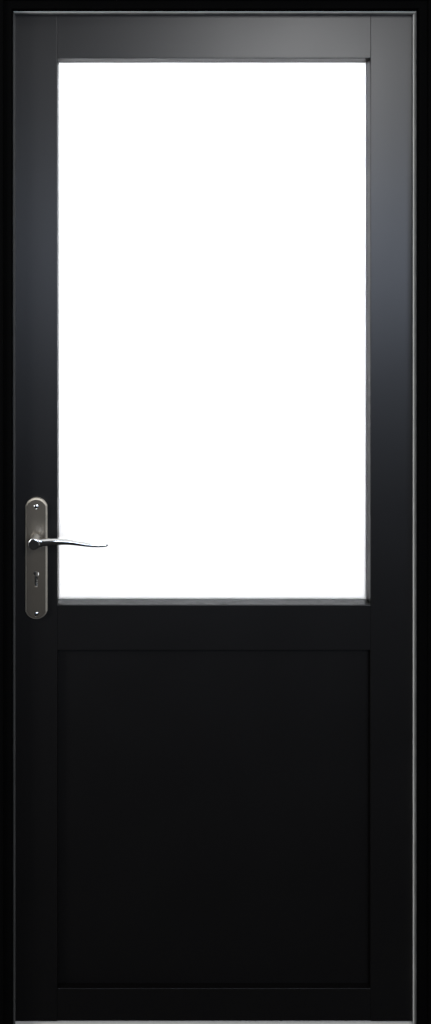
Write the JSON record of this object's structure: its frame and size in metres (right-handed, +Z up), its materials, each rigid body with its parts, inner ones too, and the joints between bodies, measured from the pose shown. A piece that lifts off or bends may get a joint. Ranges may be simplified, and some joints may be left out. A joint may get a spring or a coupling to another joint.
{
  "type": "glass door",
  "caption": "Hinged door leaf with a large etched glass pane over a flat panel, in a frame with planted stops, a perimeter seal, mortise lock and lever handles.",
  "frame": {"origin": "floor level at the middle of the doorway, in the leaf's mid-plane", "axes": "+X to the hinge side, +Y to the pull side that the leaf swings to, +Z up"},
  "size_m": [0.888, 0.132, 2.075],
  "materials": {
    "leaf_lacquer": "satin",
    "frame_lacquer": "matte",
    "beech": "matte",
    "seal_grey": "matte",
    "etched_glass": "satin",
    "glazing_tape": "matte",
    "setting_block": "matte",
    "satin_nickel": "satin",
    "polished_chrome": "polished",
    "hinge_steel": "satin",
    "lock_steel": "satin",
    "screw_steel": "satin"
  },
  "bodies": {
    "frame": {"jamb_latch_side": "frame_lacquer", "jamb_hinge_side": "frame_lacquer", "frame_head": "frame_lacquer", "frame_corner_screws": "screw_steel", "stop_latch_side": "frame_lacquer", "stop_hinge_side": "frame_lacquer", "stop_head": "frame_lacquer", "seal_latch_side": "seal_grey", "seal_hinge_side": "seal_grey", "seal_head": "seal_grey", "strike_plate": "lock_steel", "strike_screws": "screw_steel", "hinge_bottom_frame_half": "hinge_steel", "hinge_middle_frame_half": "hinge_steel", "hinge_top_frame_half": "hinge_steel", "hinge_bottom_pin": "hinge_steel", "hinge_middle_pin": "hinge_steel", "hinge_top_pin": "hinge_steel", "hinge_frame_screws": "screw_steel"},
    "leaf": {"stile_latch_side": "leaf_lacquer", "stile_hinge_side": "leaf_lacquer", "rail_top": "leaf_lacquer", "rail_middle": "leaf_lacquer", "rail_bottom": "leaf_lacquer", "rail_dowels": "beech", "lower_panel": "leaf_lacquer", "glass_pane": "etched_glass", "glazing_tape_front": "glazing_tape", "glazing_tape_rear": "glazing_tape", "setting_blocks": "setting_block", "bead_top": "leaf_lacquer", "bead_bottom": "leaf_lacquer", "bead_latch_side": "leaf_lacquer", "bead_hinge_side": "leaf_lacquer", "bead_pins": "screw_steel", "hinge_bottom_door_half": "hinge_steel", "hinge_middle_door_half": "hinge_steel", "hinge_top_door_half": "hinge_steel", "hinge_door_screws": "screw_steel", "lock_case": "lock_steel", "lock_cover": "lock_steel", "lock_cover_screws": "screw_steel", "lock_forend": "lock_steel", "forend_screws": "screw_steel", "latch_spring": "screw_steel", "detent_spring": "screw_steel", "plate_front": "satin_nickel", "plate_rear": "satin_nickel", "lever_bush_front": "satin_nickel", "lever_bush_rear": "satin_nickel", "plate_bolts": "polished_chrome", "plate_sleeves": "polished_chrome"},
    "lever_set": {"lever_front": "polished_chrome", "lever_rear": "polished_chrome", "spindle": "lock_steel", "grub_screws": "screw_steel", "follower": "lock_steel"},
    "latch": {"latch_bolt": "lock_steel"},
    "deadbolt": {"deadbolt": "lock_steel"}
  },
  "joints": [
    {"name": "leaf_swing", "type": "hinge", "parent": "frame", "child": "leaf", "pos_m": [0.4165, 0.027, 1.041], "axis": [0, 0, -1], "range_deg": [0, 110]},
    {"name": "lever_turn", "type": "hinge", "parent": "leaf", "child": "lever_set", "pos_m": [-0.357, 0, 0.981], "axis": [0, 1, 0], "range_deg": [0, 40], "stiffness_Nm_per_rad": 2, "springref_deg": -28.65},
    {"name": "latch_slide", "type": "slide", "parent": "leaf", "child": "latch", "axis": [1, 0, 0], "range_m": [0, 0.0122], "deforming": ["latch_spring"]},
    {"name": "deadbolt_throw", "type": "slide", "parent": "leaf", "child": "deadbolt", "axis": [-1, 0, 0], "range_m": [0, 0.014]}
  ],
  "couplings": [
    {"joint": "latch_slide", "follows": "lever_turn", "m_per_rad": 0.01719}
  ]
}
